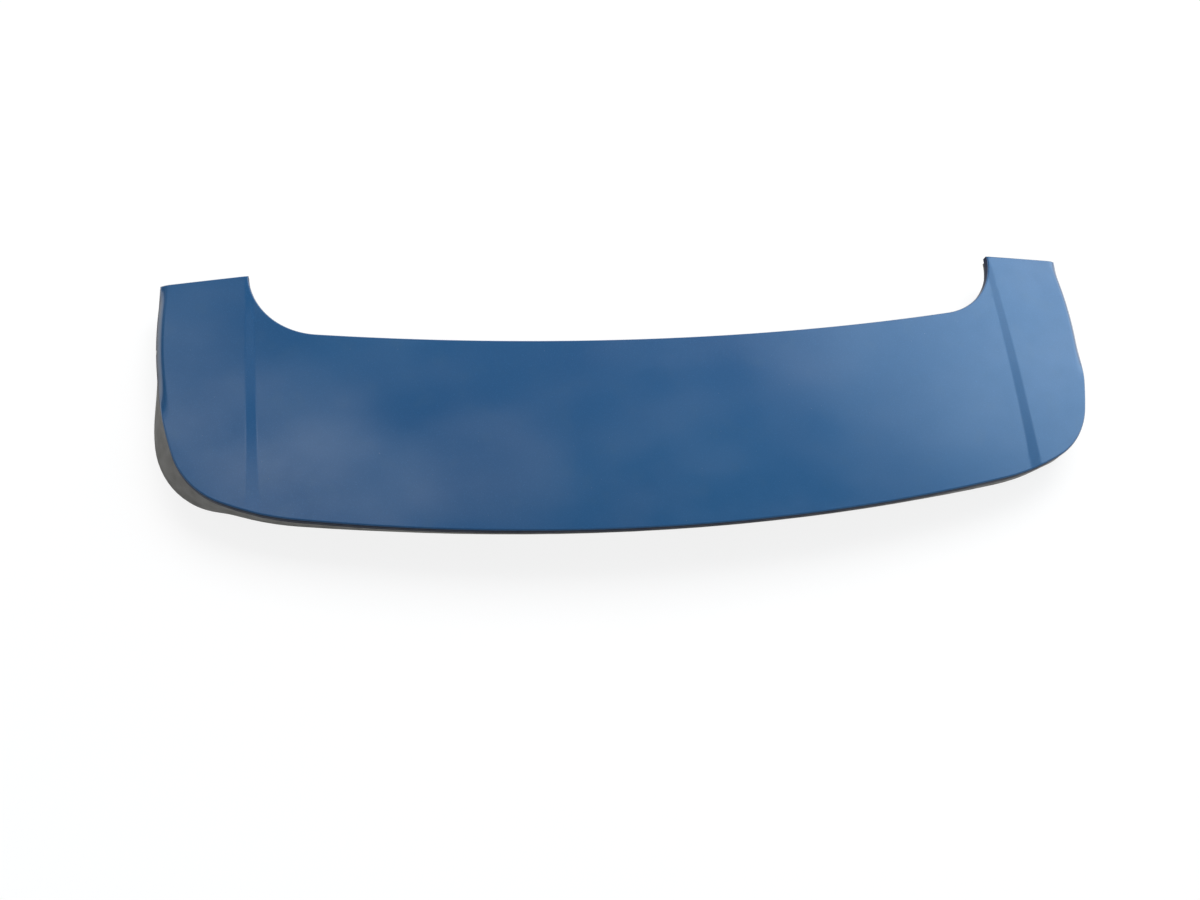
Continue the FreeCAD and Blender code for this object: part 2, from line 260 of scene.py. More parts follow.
class FinishSheet(ShaderNodes):
    """Shader nodes of one new material."""

    # Sockets of the mix node in its colour mode
    MIX_SHARE, MIX_FIRST, MIX_SECOND, MIX_RESULT = 0, 6, 7, 2

    def __init__(self, name: str) -> None:
        """Starts a plain material.

        Args:
            name: the material's name.
        """
        self.material = bpy.data.materials.new(name)
        self.material.use_nodes = True
        super().__init__(self.material.node_tree)
        self.shader = self.tree.nodes["Principled BSDF"]
        self.place = self.tree.nodes.new("ShaderNodeTexCoord").outputs["Object"]

    def feed(self, **inputs: object) -> None:
        """Feeds the material's own shader.

        Args:
            inputs: socket names, with spaces as underscores, to values or sockets.
        """
        for name, value in inputs.items():
            self.join(self.shader.inputs[name.replace("_", " ")], value)

    def noise(self, scale: float, detail: float) -> bpy.types.NodeSocket:
        """Noise over the object's own coordinates.

        Args:
            scale: cells per metre.
            detail: octaves.

        Returns:
            The noise value.
        """
        return self.node("ShaderNodeTexNoise", Vector=self.place, Scale=scale, Detail=detail).outputs["Fac"]

    def cells(self, scale: float) -> bpy.types.Node:
        """Grain of small cells over the object's own coordinates."""
        return self.node("ShaderNodeTexVoronoi", Vector=self.place, Scale=scale)

    def ramp(self, value: bpy.types.NodeSocket, limits: Span, dark: Colour,
             light: Colour) -> bpy.types.NodeSocket:
        """Colour between two stops.

        Args:
            value: what drives the ramp.
            limits: values at the dark and the light stop.
            dark: colour at the first.
            light: colour at the second.

        Returns:
            The colour.
        """
        item = self.node("ShaderNodeValToRGB", Fac=value)
        for stop, place, colour in zip(item.color_ramp.elements, limits, (dark, light)):
            stop.position = place
            stop.color = opaque(colour)
        return item.outputs["Color"]

    def tone(self, mottle: Mottle, dark: Colour, light: Colour) -> bpy.types.NodeSocket:
        """Colour that drifts between two by a mottle."""
        return self.ramp(self.noise(mottle.scale, mottle.detail), mottle.limits, dark, light)

    def mix(self, share: bpy.types.NodeSocket, first: object, second: object) -> bpy.types.NodeSocket:
        """Mixes two colours.

        Args:
            share: how much of the second.
            first: colour or socket.
            second: colour or socket.

        Returns:
            The mixed colour.
        """
        item = self.tree.nodes.new("ShaderNodeMix")
        item.data_type = "RGBA"
        self.join(item.inputs[self.MIX_SHARE], share)
        self.join(item.inputs[self.MIX_FIRST], opaque(first))
        self.join(item.inputs[self.MIX_SECOND], opaque(second))
        return item.outputs[self.MIX_RESULT]

    def upright(self, limits: Span) -> bpy.types.NodeSocket:
        """Tells faces that look up from edges that look sideways.

        Args:
            limits: upward shares of the normal at which a face counts as an edge and as a top.

        Returns:
            0 on edges and 1 on tops.
        """
        normal = self.tree.nodes.new("ShaderNodeNewGeometry").outputs["Normal"]
        return self.stretch(self.upward(normal), source=limits, easing=Easing.EASED)

    def bump(self, height: bpy.types.NodeSocket, strength: float, depth: float) -> bpy.types.NodeSocket:
        """Bumps the surface.

        Args:
            height: the height map.
            strength: share of the bump.
            depth: depth in metres.

        Returns:
            The bumped normal.
        """
        return self.node("ShaderNodeBump", Height=height, Strength=strength, Distance=depth).outputs["Normal"]

    def spot(self, centre: Place, radius: float, ragged: bpy.types.NodeSocket) -> bpy.types.NodeSocket:
        """Mask of a small ragged spot.

        Args:
            centre: place on the object in metres.
            radius: size in metres.
            ragged: noise around a half that moves the edge in and out.

        Returns:
            1 inside the spot and 0 outside.
        """
        away = self.vector("DISTANCE", self.place, centre)
        edge = self.math("SUBTRACT", away, self.math("MULTIPLY", ragged, radius))
        return self.math("LESS_THAN", edge, 0.5 * radius)


@dataclass(frozen=True)
class BluePaint:
    """Metallic blue base coat with flake, under a clear coat with faint orange peel, with painted shade on
    the edges that face sideways.
    """

    deep: Colour = (0.006, 0.066, 0.180)
    light: Colour = (0.010, 0.080, 0.202)
    flake: Colour = (0.022, 0.120, 0.275)
    haze: Colour = (0.022, 0.086, 0.184)
    # Painted shade: near-black navy given to the rim and rolled edges in place of the blue
    shade: Colour = (0.003, 0.012, 0.040)
    primer: Colour = (0.700, 0.700, 0.680)
    drift: Mottle = Mottle(3.2, 2.0, (0.35, 0.65))
    flake_scale: float = 1500.0
    flake_limits: Span = (0.72, 0.95)
    flake_share: float = 0.5
    flake_strength: float = 0.05
    flake_depth: float = 0.0001
    dust: Mottle = Mottle(38.0, 6.0, (0.56, 0.80))
    dust_share: float = 0.35
    wear: Mottle = Mottle(55.0, 5.0, (0.30, 0.75))
    roughness: Span = (0.30, 0.42)
    peel_scale: float = 260.0
    peel_detail: float = 2.0
    peel_strength: float = 0.02
    peel_depth: float = 0.0003
    coat_roughness: float = 0.06
    edge_slope: Span = (0.35, 0.80)
    metallic: Span = (0.0, 0.2)
    coat: Span = (0.0, 1.0)
    specular: Span = (0.02, 0.5)
    chip_place: Place = (-0.5745, 0.072, 0.017)
    chip_radius: float = 0.0030
    chip_edge_scale: float = 900.0
    chip_edge_detail: float = 3.0

    def make(self) -> bpy.types.Material:
        """Builds the paint.

        Returns:
            The material.
        """
        sheet = FinishSheet(Slot.PAINT.value)
        grain = sheet.cells(self.flake_scale)
        sparkle = sheet.ramp(grain.outputs["Color"], self.flake_limits, grey(0.0), grey(self.flake_share))
        flaked = sheet.mix(sparkle, sheet.tone(self.drift, self.deep, self.light), self.flake)
        dusty = sheet.mix(sheet.tone(self.dust, grey(0.0), grey(self.dust_share)), flaked, self.haze)
        upright = sheet.upright(self.edge_slope)
        # Painted shade: faces that look sideways (rim, rolled edges) take the near-black navy instead of the
        # paint, and the coat, specular and metal fall away there too
        edge_painted_shade = sheet.mix(upright, self.shade, dusty)
        ragged = sheet.noise(self.chip_edge_scale, self.chip_edge_detail)
        chip = sheet.spot(self.chip_place, self.chip_radius, ragged)
        peel = sheet.noise(self.peel_scale, self.peel_detail)
        low, high = self.roughness
        sheet.feed(
            Base_Color=sheet.mix(chip, edge_painted_shade, self.primer),
            Roughness=sheet.tone(self.wear, grey(low), grey(high)),
            Normal=sheet.bump(grain.outputs["Distance"], self.flake_strength, self.flake_depth),
            Coat_Normal=sheet.bump(peel, self.peel_strength, self.peel_depth),
            Metallic=sheet.stretch(upright, target=self.metallic),
            Coat_Weight=sheet.stretch(upright, target=self.coat),
            Specular_IOR_Level=sheet.stretch(upright, target=self.specular),
            Coat_Roughness=self.coat_roughness,
        )
        return sheet.material


@dataclass(frozen=True)
class MouldedFinish:
    """Plain moulded or foamed surface with its own grain."""

    name: str
    dark: Colour
    light: Colour
    grain_scale: float
    grain_depth: float
    roughness: Span
    metallic: float = 0.0
    grain_strength: float = 0.5
    drift: Mottle = Mottle(14.0, 6.0, (0.30, 0.72))
    wear: Mottle = Mottle(70.0, 4.0, (0.30, 0.70))

    def make(self) -> bpy.types.Material:
        """Builds the finish.

        Returns:
            The material.
        """
        sheet = FinishSheet(self.name)
        low, high = self.roughness
        grain = sheet.cells(self.grain_scale).outputs["Distance"]
        sheet.feed(
            Base_Color=sheet.tone(self.drift, self.dark, self.light),
            Roughness=sheet.tone(self.wear, grey(low), grey(high)),
            Normal=sheet.bump(grain, self.grain_strength, self.grain_depth),
            Metallic=self.metallic,
        )
        return sheet.material


FINISHES: dict[Slot, BluePaint | MouldedFinish] = {
    Slot.PAINT: BluePaint(),
    Slot.PLASTIC: MouldedFinish(
        Slot.PLASTIC.value, dark=(0.165, 0.162, 0.150), light=(0.240, 0.236, 0.220),
        grain_scale=1400.0, grain_depth=0.00012, roughness=(0.48, 0.66)),
    Slot.STEEL: MouldedFinish(
        Slot.STEEL.value, dark=(0.42, 0.42, 0.40), light=(0.60, 0.60, 0.58),
        grain_scale=2200.0, grain_depth=0.00003, roughness=(0.26, 0.42), metallic=1.0),
    Slot.FOAM: MouldedFinish(
        Slot.FOAM.value, dark=(0.012, 0.012, 0.012), light=(0.030, 0.030, 0.031),
        grain_scale=900.0, grain_depth=0.0004, roughness=(0.80, 0.95)),
    Slot.CLIP: MouldedFinish(
        Slot.CLIP.value, dark=(0.58, 0.57, 0.52), light=(0.70, 0.69, 0.65),
        grain_scale=1600.0, grain_depth=0.00005, roughness=(0.38, 0.52)),
}
DUST = MouldedFinish(
    "pale_dust", dark=(0.16, 0.20, 0.25), light=(0.34, 0.36, 0.38),
    grain_scale=3000.0, grain_depth=0.00002, roughness=(0.85, 0.95))


@dataclass
class Panel:
    """Plan outline and top surface of the spoiler, in millimetres."""

    half_width: float = 575.0
    side_radius: float = 528.0
    side_centre_y: float = 84.4
    corner_radius: float = 98.0
    quarter_radius: float = 330.0
    quarter_start_x: float = 421.0
    trail_radius: float = 2308.0
    trail_y: float = -185.7
    tip_outer_y: float = 156.3
    tip_inner_x: float = 468.3
    tip_inner_y: float = 160.8
    notch_radius: float = 89.0
    front_radius: float = 2668.0
    front_y: float = 47.2
    top_level: float = 61.0
    crown: float = 33.6
    chord_sag: float = 5.5
    chord_unit: float = 150.0
    crease_x: float = 467.0
    crease_half: Span = (5.5, 8.5)
    crease_step: Span = (0.9, 1.5)
    crease_ease: float = 0.16
    roll_width: float = 11.0
    roll_drop: float = 11.0
    roll_limit: float = 2.0
    roll_rear_y: float = -20.0
    roll_rear_blend: float = 60.0
    roll_front_y: float = 168.0
    roll_front_blend: float = 40.0
    slope_step: float = 0.25
    trail_steps: int = 90
    quarter_steps: int = 24
    corner_steps: int = 30
    side_steps: int = 44
    tip_steps: int = 22
    notch_steps: int = 36
    front_steps: int = 84

    def height(self, x: float, y: float) -> float:
        """Height of the painted surface.

        Args:
            x: place across the car.
            y: place along the car.

        Returns:
            The height in the frame of the part.
        """
        rearward = smooth((self.tip_inner_y - y) / (self.tip_inner_y - self.trail_y))
        half = between(self.crease_half, rearward)
        step = between(self.crease_step, rearward)
        crease = step * soft_ramp((abs(x) - self.crease_x + half) / (2.0 * half), self.crease_ease)
        swing = max(self.side_radius ** 2 - (y - self.side_centre_y) ** 2, 0.0)
        edge = self.half_width - self.side_radius + math.sqrt(swing)
        reach = min(max((abs(x) - edge + self.roll_width) / self.roll_width, 0.0), self.roll_limit)
        rear = smooth((y - self.roll_rear_y) / self.roll_rear_blend)
        window = rear * smooth((self.roll_front_y - y) / self.roll_front_blend)
        sag = self.chord_sag * (y / self.chord_unit) ** 2
        base = self.top_level - self.crown * (x / self.half_width) ** 2 - sag
        return base + crease - self.roll_drop * window * reach ** 2

    def normal(self, x: float, y: float) -> Vector:
        """Upward normal of the painted surface.

        Args:
            x: place across the car.
            y: place along the car.

        Returns:
            The unit normal.
        """
        step = self.slope_step
        slope_x = (self.height(x + step, y) - self.height(x - step, y)) / (2.0 * step)
        slope_y = (self.height(x, y + step) - self.height(x, y - step)) / (2.0 * step)
        return Vector((-slope_x, -slope_y, 1.0)).normalized()

    @staticmethod
    def crossing(first: Vector, radius_a: float, second: Vector, radius_b: float) -> tuple[Vector, Vector]:
        """The two points shared by two circles.

        Args:
            first: centre of the first circle.
            radius_a: its radius.
            second: centre of the second circle.
            radius_b: its radius.

        Returns:
            Both points.
        """
        gap = second - first
        along = (radius_a ** 2 - radius_b ** 2 + gap.length_squared) / (2.0 * gap.length)
        across = math.sqrt(radius_a ** 2 - along ** 2)
        unit = gap.normalized()
        middle = first + unit * along
        side = Vector((-unit.y, unit.x)) * across
        return middle + side, middle - side

    @staticmethod
    def on_line(start: Vector, unit: Vector, centre: Vector, radius: float) -> Vector:
        """Where a line first crosses a circle.

        Args:
            start: a point of the line.
            unit: the line's heading.
            centre: the circle's centre.
            radius: the circle's radius.

        Returns:
            The crossing.
        """
        offset = start - centre
        half = offset.dot(unit)
        return start - unit * (half + math.sqrt(half ** 2 - offset.length_squared + radius ** 2))

    @staticmethod
    def arc(start: Vector, end: Vector, centre: Vector, count: int) -> list[Vector]:
        """Points of the short arc, without its end point.

        Args:
            start: first point.
            end: last point.
            centre: the arc's centre.
            count: number of steps.

        Returns:
            The points.
        """
        first = start - centre
        turn = first.angle_signed(end - centre)
        return [centre + Matrix.Rotation(-turn * step / count, 2) @ first for step in range(count)]

    def outline(self, inset: float) -> list[Vector]:
        """Closed outline set in from the painted edge, anticlockwise from above.

        Args:
            inset: distance in from the edge.

        Returns:
            The same number of points for any inset.
        """
        trail = Vector((0.0, self.trail_y + self.trail_radius))
        swing = math.asin(self.quarter_start_x / self.trail_radius)
        heading = Vector((math.sin(swing), -math.cos(swing)))
        quarter = trail + heading * (self.trail_radius - self.quarter_radius)
        side = Vector((self.half_width - self.side_radius, self.side_centre_y))
        corner = min(self.crossing(quarter, self.quarter_radius - self.corner_radius,
                                   side, self.side_radius - self.corner_radius), key=lambda point: point.y)
        front = Vector((0.0, self.front_y + self.front_radius))
        tip_inner = Vector((self.tip_inner_x, self.tip_inner_y))
        notch = min(self.crossing(front, self.front_radius - self.notch_radius, tip_inner, self.notch_radius),
                    key=lambda point: point.x)
        rise = self.tip_outer_y - self.side_centre_y
        tip_outer = Vector((side.x + math.sqrt(self.side_radius ** 2 - rise ** 2), self.tip_outer_y))
        unit = (tip_inner - tip_outer).normalized()
        start = tip_outer + Vector((-unit.y, unit.x)) * inset
        joints = [
            Vector((0.0, self.trail_y + inset)),
            trail + heading * (self.trail_radius - inset),
            quarter + (corner - quarter).normalized() * (self.quarter_radius - inset),
            side + (corner - side).normalized() * (self.side_radius - inset),
            self.on_line(start, unit, side, self.side_radius - inset),
            self.on_line(start, unit, notch, self.notch_radius + inset),
            front + (notch - front).normalized() * (self.front_radius + inset),
            Vector((0.0, self.front_y - inset)),
        ]
        half = self.arc(joints[0], joints[1], trail, self.trail_steps)
        half += self.arc(joints[1], joints[2], quarter, self.quarter_steps)
        half += self.arc(joints[2], joints[3], corner, self.corner_steps)
        half += self.arc(joints[3], joints[4], side, self.side_steps)
        half += [joints[4].lerp(joints[5], step / self.tip_steps) for step in range(self.tip_steps)]
        half += self.arc(joints[5], joints[6], notch, self.notch_steps)
        half += self.arc(joints[6], joints[7], front, self.front_steps)
        return half + [joints[7]] + [Vector((-point.x, point.y)) for point in reversed(half[1:])]


@dataclass(frozen=True)
class Ring:
    """One loop of the rim: its inset, its lift above the surface there, and how its normal points."""

    inset: float
    lift: float
    out: float
    up: float


@dataclass
class UpperShell:
    """Painted skin with a rounded edge and a turned-down rim, in millimetres."""

    panel: Panel
    skin: float = 3.0
    rim_depth: float = 10.0
    rim_wall: float = 2.5
    edge_radius: float = 2.4
    rim_ease: float = 0.5
    corner_lean: tuple[float, float] = (-0.7, -0.7)
    foot_lean: tuple[float, float] = (0.4, -0.9)
    apron: tuple[float, ...] = (5.0, 8.0, 12.0)
    arc_steps: int = 7
    outward_probe: float = 1.0
    grid_y: float = 9.0
    coarse_step: float = 14.0
    coarse_gap: float = 4.0
    fine_step: float = 1.5
    fine_reach: float = 12.0
    end_step: float = 6.0
    end_gap: float = 9.0
    edge_gap: float = 3.0
    inside_only: int = 1
    merge_gap: float = 1e-6

    def rings(self) -> list[Ring]:
        """Rim section from the inner ceiling, round the rim, to the top.

        Returns:
            The rings in that order.
        """
        eased = self.rim_ease - self.rim_depth
        lean_out, lean_down = self.foot_lean
        inner = [Ring(inset, -self.skin, 0.0, -1.0) for inset in reversed(self.apron)]
        rim = [
            Ring(self.rim_wall, -self.skin, *self.corner_lean),
            Ring(self.rim_wall, eased, -1.0, 0.0),
            Ring(self.rim_wall - self.rim_ease, -self.rim_depth, -lean_out, lean_down),
            Ring(self.rim_ease, -self.rim_depth, lean_out, lean_down),
            Ring(0.0, eased, 1.0, 0.0),
        ]
        edge = []
        for step in range(self.arc_steps + 1):
            turn = 0.5 * math.pi * step / self.arc_steps
            out, up = math.cos(turn), math.sin(turn)
            edge.append(Ring(self.edge_radius * (1.0 - out), -self.edge_radius * (1.0 - up), out, up))
        return inner + rim + edge + [Ring(inset, 0.0, 0.0, 1.0) for inset in self.apron]

    def columns(self) -> list[float]:
        """Places across the panel, closer together over each crease.

        Returns:
            The places from left to right.
        """
        crease = self.panel.crease_x - self.fine_reach
        fine_count = int(2.0 * self.fine_reach / self.fine_step) + 1
        fine = [crease + step * self.fine_step for step in range(fine_count)]
        coarse_count = int((crease - self.coarse_gap) / self.coarse_step) + 1
        coarse = [step * self.coarse_step for step in range(coarse_count)]
        end_start = fine[-1] + self.end_gap
        end_count = int((self.panel.half_width - end_start) / self.end_step)
        right = coarse + fine + [end_start + step * self.end_step for step in range(end_count)]
        return [-x for x in reversed(right[1:])] + right

    def fill(self, loop: list[Vector]) -> tuple[list[Vector], list[list[int]]]:
        """Triangles inside a loop, over a grid of inner points.

        Args:
            loop: the closed boundary.

        Returns:
            All points, the loop's own first, and the triangles.
        """
        inside = []
        count = len(loop)
        row_count = int((self.panel.tip_inner_y - self.panel.trail_y) / self.grid_y) + 1
        rows = [self.panel.trail_y + step * self.grid_y for step in range(row_count)]
        for x in self.columns():
            cuts = sorted(a.y + (b.y - a.y) * (x - a.x) / (b.x - a.x)
                          for a, b in zip(loop, loop[1:] + loop[:1]) if (a.x <= x) != (b.x <= x))
            for low, high in zip(cuts[::2], cuts[1::2]):
                inside += [Vector((x, y)) for y in rows if low + self.edge_gap < y < high - self.edge_gap]
        edges = [(index, (index + 1) % count) for index in range(count)]
        points = loop + inside
        _, _, faces, origin, _, _ = delaunay_2d_cdt(points, edges, [], self.inside_only, self.merge_gap)
        return points, [[origin[corner][0] for corner in face] for face in faces]

    def place(self, point: Vector, lift: float) -> Vector:
        """Point of the mesh at a lift above the painted surface."""
        return Vector((point.x, point.y, self.panel.height(point.x, point.y) + lift))

    def rim_points(self, rings: list[Ring], loops: list[list[Vector]]) -> tuple[list[Vector], list[Vector]]:
        """Points of the rim.

        Args:
            rings: the rim's section.
            loops: outline of each ring.

        Returns:
            The points and their normals.
        """
        places = []
        normals = []
        outer, inner = self.panel.outline(0.0), self.panel.outline(self.outward_probe)
        outward = [(a - b).normalized() for a, b in zip(outer, inner)]
        for ring, loop in zip(rings, loops):
            for point, away in zip(loop, outward):
                places.append(self.place(point, ring.lift))
                top = self.panel.normal(point.x, point.y)
                normals.append((Vector((away.x, away.y, 0.0)) * ring.out + top * ring.up).normalized())
        return places, normals

    @staticmethod
    def rim_faces(ring_count: int, count: int) -> list[list[int]]:
        """Quads between each ring and the next.

        Args:
            ring_count: number of rings.
            count: points in a ring.

        Returns:
            The quads.
        """
        faces = []
        for ring in range(ring_count - 1):
            low, high = ring * count, (ring + 1) * count
            for index in range(count):
                after = (index + 1) % count
                faces.append([low + index, low + after, high + after, high + index])
        return faces

    def build(self) -> bpy.types.Object:
        """Builds the shell as one closed mesh with smooth normals.

        Returns:
            The shell.
        """
        rings = self.rings()
        loops = [self.panel.outline(ring.inset) for ring in rings]
        count = len(loops[0])
        places, normals = self.rim_points(rings, loops)
        faces = self.rim_faces(len(rings), count)
        for ring, lift, up in ((len(rings) - 1, 0.0, 1.0), (0, -self.skin, -1.0)):
            points, triangles = self.fill(loops[ring])
            start = len(places) - count
            for point in points[count:]:
                places.append(self.place(point, lift))
                normals.append(self.panel.normal(point.x, point.y) * up)
            table = [ring * count + index if index < count else start + index for index in range(len(points))]
            for triangle in triangles:
                corners = [table[corner] for corner in triangle]
                faces.append(corners if up > 0.0 else corners[::-1])
        mesh = bpy.data.meshes.new("painted_upper_shell")
        mesh.from_pydata([place * MM for place in places], [], faces)
        mesh.polygons.foreach_set("use_smooth", [True] * len(mesh.polygons))
        mesh.normals_split_custom_set_from_vertices(normals)
        mesh.update()
        return stand("painted_upper_shell", mesh)

    def dress(self, shell: bpy.types.Object, paint: bpy.types.Material) -> None:
        """Paints the shell and puts it in the place of the CAD node.

        Args:
            shell: the built shell.
            paint: its finish.
        """
        shell.data.materials.append(paint)
        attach(shell, "root")
        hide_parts("upper_shell")
        LOG.info("upper shell has %d faces", len(shell.data.polygons))


class NodePlan:
    """Short way to build one geometry node tree."""

    def __init__(self, name: str) -> None:
        """Starts a tree with a geometry input and output.

        Args:
            name: the tree's name.
        """
        self.tree = bpy.data.node_groups.new(name, "GeometryNodeTree")
        self.tree.interface.new_socket("Geometry", in_out="INPUT", socket_type="NodeSocketGeometry")
        self.tree.interface.new_socket("Geometry", in_out="OUTPUT", socket_type="NodeSocketGeometry")
        self.inlet = self.tree.nodes.new("NodeGroupInput")
        self.outlet = self.tree.nodes.new("NodeGroupOutput")

    def number(self, name: str, value: float, kind: str = "NodeSocketFloat") -> None:
        """Adds a named input.

        Args:
            name: the input's name.
            value: its default.
            kind: socket type.
        """
        socket = self.tree.interface.new_socket(name, in_out="INPUT", socket_type=kind)
        socket.default_value = value

    def node(self, kind: str, **inputs: object) -> bpy.types.Node:
        """Adds a node and sets its inputs.

        Args:
            kind: Blender's node type.
            inputs: socket names, with spaces as underscores, to values or sockets; a text names one of the
                tree's own inputs.

        Returns:
            The new node.
        """
        item = self.tree.nodes.new(kind)
        for name, value in inputs.items():
            socket = item.inputs[name.replace("_", " ")]
            if isinstance(value, str):
                self.tree.links.new(self.inlet.outputs[value], socket)
            elif isinstance(value, bpy.types.NodeSocket):
                self.tree.links.new(value, socket)
            else:
                socket.default_value = value
        return item

    def scatter(self, points: bpy.types.NodeSocket | str, shape: bpy.types.NodeSocket,
                **inputs: object) -> bpy.types.NodeSocket:
        """Puts a copy of a shape on every point.

        Args:
            points: where the copies go.
            shape: what is copied.
            inputs: more inputs of the node.

        Returns:
            The copies.
        """
        item = self.node("GeometryNodeInstanceOnPoints", Points=points, Instance=shape, **inputs)
        return item.outputs["Instances"]

    def apply(self, holder: bpy.types.Object, geometry: bpy.types.NodeSocket,
              material: bpy.types.Material) -> None:
        """Ends the tree, runs it on a holder and keeps the result as a plain mesh.

        Args:
            holder: the object that carries the modifier.
            geometry: the instances to make real.
            material: finish of the result.
        """
        real = self.node("GeometryNodeRealizeInstances", Geometry=geometry)
        finish = self.node("GeometryNodeSetMaterial", Geometry=real.outputs["Geometry"], Material=material)
        self.tree.links.new(finish.outputs["Geometry"], self.outlet.inputs["Geometry"])
        modifier = holder.modifiers.new(self.tree.name, "NODES")
        modifier.node_group = self.tree
        graph = bpy.context.evaluated_depsgraph_get()
        made = bpy.data.meshes.new_from_object(holder.evaluated_get(graph))
        holder.modifiers.remove(modifier)
        holder.data = made


@dataclass
class StudThreads:
    """Thread ridges on the studs, in millimetres; each stud has its place across and its seat's height."""

    studs: tuple[tuple[float, float], ...] = ((-430.0, -3.3), (-210.0, 11.0), (210.0, 11.0), (430.0, -3.3))
    radius: float = 3.0
    ridge: float = 0.28
    pitch: float = 1.0
    ridges: int = 17
    lowest: float = -20.0
    ring_points: int = 28
    bead_points: int = 6

    def build(self, steel: bpy.types.Material) -> bpy.types.Object:
        """Repeats one ridge down every stud.

        Args:
            steel: finish of the ridges.

        Returns:
            All ridges as one piece.
        """
        mesh = bpy.data.meshes.new("stud_threads")
        mesh.from_pydata([(x * MM, 0.0, (seat + self.lowest) * MM) for x, seat in self.studs], [], [])
        holder = stand("stud_threads", mesh)
        plan = NodePlan("thread_ridges")
        plan.number("Radius", self.radius * MM)
        plan.number("Ridge", self.ridge * MM)
        plan.number("Ridges", self.ridges, "NodeSocketInt")
        ring = plan.node("GeometryNodeCurvePrimitiveCircle", Resolution=self.ring_points, Radius="Radius")
        bead = plan.node("GeometryNodeCurvePrimitiveCircle", Resolution=self.bead_points, Radius="Ridge")
        ridge = plan.node("GeometryNodeCurveToMesh", Curve=ring.outputs["Curve"],
                          Profile_Curve=bead.outputs["Curve"])
        column = plan.node("GeometryNodeMeshLine", Count="Ridges", Offset=(0.0, 0.0, self.pitch * MM))
        row = plan.scatter(column.outputs["Mesh"], ridge.outputs["Mesh"])
        plan.apply(holder, plan.scatter("Geometry", row), steel)
        return holder

    def dress(self, threads: bpy.types.Object) -> None:
        """Fixes the ridges to the studs.

        Args:
            threads: the built ridges.
        """
        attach(threads, "root")
        LOG.info("stud threads have %d faces", len(threads.data.polygons))


@dataclass
class DustSpecks:
    """Fine specks of dust on the painted surface: how many a square metre, and their size in millimetres."""

    # Sockets of the random value node in its number mode
    SIZE_MIN, SIZE_MAX, SIZE_RESULT = 2, 3, 1

    density: float = 260.0
    radius: float = 0.28
    seed: int = 7
    level_share: float = 0.95
    size_limits: Span = (0.4, 1.0)

    def build(self, shell: bpy.types.Object, dust: bpy.types.Material) -> bpy.types.Object:
        """Scatters the specks over the upward faces of the shell.

        Args:
            shell: the painted shell.
            dust: finish of the specks.

        Returns:
            All specks as one piece.
        """
        holder = stand("dust_specks", shell.data.copy())
        plan = NodePlan("dust_scatter")
        plan.number("Density", self.density)
        plan.number("Speck Radius", self.radius * MM)
        plan.number("Seed", self.seed, "NodeSocketInt")
        normal = plan.node("GeometryNodeInputNormal").outputs["Normal"]
        facing = plan.node("ShaderNodeSeparateXYZ", Vector=normal)
        upward = plan.node("FunctionNodeCompare", A=facing.outputs["Z"], B=self.level_share)
        spread = plan.node("GeometryNodeDistributePointsOnFaces", Mesh="Geometry", Density="Density",
                           Seed="Seed", Selection=upward.outputs["Result"])
        speck = plan.node("GeometryNodeMeshIcoSphere", Radius="Speck Radius", Subdivisions=1)
        size = plan.node("FunctionNodeRandomValue", Seed="Seed")
        for socket, limit in zip((self.SIZE_MIN, self.SIZE_MAX), self.size_limits):
            size.inputs[socket].default_value = limit
        scale = size.outputs[self.SIZE_RESULT]
        specks = plan.scatter(spread.outputs["Points"], speck.outputs["Mesh"], Scale=scale)
        plan.apply(holder, specks, dust)
        return holder

    def dress(self, specks: bpy.types.Object) -> None:
        """Lets the specks ride with the shell.

        Args:
            specks: the built specks.
        """
        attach(specks, "root")
        LOG.info("dust specks have %d faces", len(specks.data.polygons))


@dataclass
class Fittings:
    """CAD pieces that keep their own form and only take a finish."""

    slots: tuple[tuple[str, Slot], ...] = (
        ("lower_shell", Slot.PLASTIC),
        ("mounting_studs", Slot.STEEL),
        ("stud_seals", Slot.FOAM),
        ("joining_screws", Slot.STEEL),
        ("horn_clips", Slot.CLIP),
        ("front_seal", Slot.FOAM),
        ("horn_pads", Slot.FOAM),
    )

    def dress(self, materials: dict[Slot, bpy.types.Material]) -> None:
        """Gives each piece its finish.

        Args:
            materials: made finishes by slot.
        """
        for name, slot in self.slots:
            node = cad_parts[name]
            node.data.materials.clear()
            node.data.materials.append(materials[slot])
            LOG.info("%s takes %s", name, slot.value)


@dataclass(frozen=True)
class SkyPatch:
    """A soft bright patch of the sky."""

    toward: Place
    inner_deg: float
    outer_deg: float
    gain: float
    tint: Colour = (1.0, 1.0, 1.0)

    def light(self, nodes: ShaderNodes, heading: bpy.types.NodeSocket) -> bpy.types.NodeSocket:
        """Light of the patch.

        Args:
            nodes: the world's nodes.
            heading: direction into the sky.

        Returns:
            The coloured light.
        """
        facing = nodes.vector("DOT_PRODUCT", heading, Vector(self.toward).normalized())
        edges = math.cos(math.radians(self.outer_deg)), math.cos(math.radians(self.inner_deg))
        spread = nodes.stretch(facing, edges, (0.0, self.gain), Easing.SOFT)
        return nodes.vector("MULTIPLY", self.tint, spread)


SKY_PATCHES = (
    SkyPatch((0.78, 0.45, 0.43), 8.0, 40.0, 2.2, (0.76, 0.98, 1.16)),
    SkyPatch((0.40, 0.43, 0.81), 1.0, 7.0, 0.40),
    SkyPatch((0.00, 0.24, 0.97), 2.0, 8.0, 0.40),
    SkyPatch((-0.20, 0.20, 0.96), 2.0, 11.0, 0.80),
    SkyPatch((-0.24, 0.34, 0.91), 2.0, 9.0, 0.45),
    SkyPatch((-0.42, 0.45, 0.79), 2.0, 13.0, 0.60),
    SkyPatch((-0.40, 0.26, 0.87), 1.0, 10.0, 0.40),
)


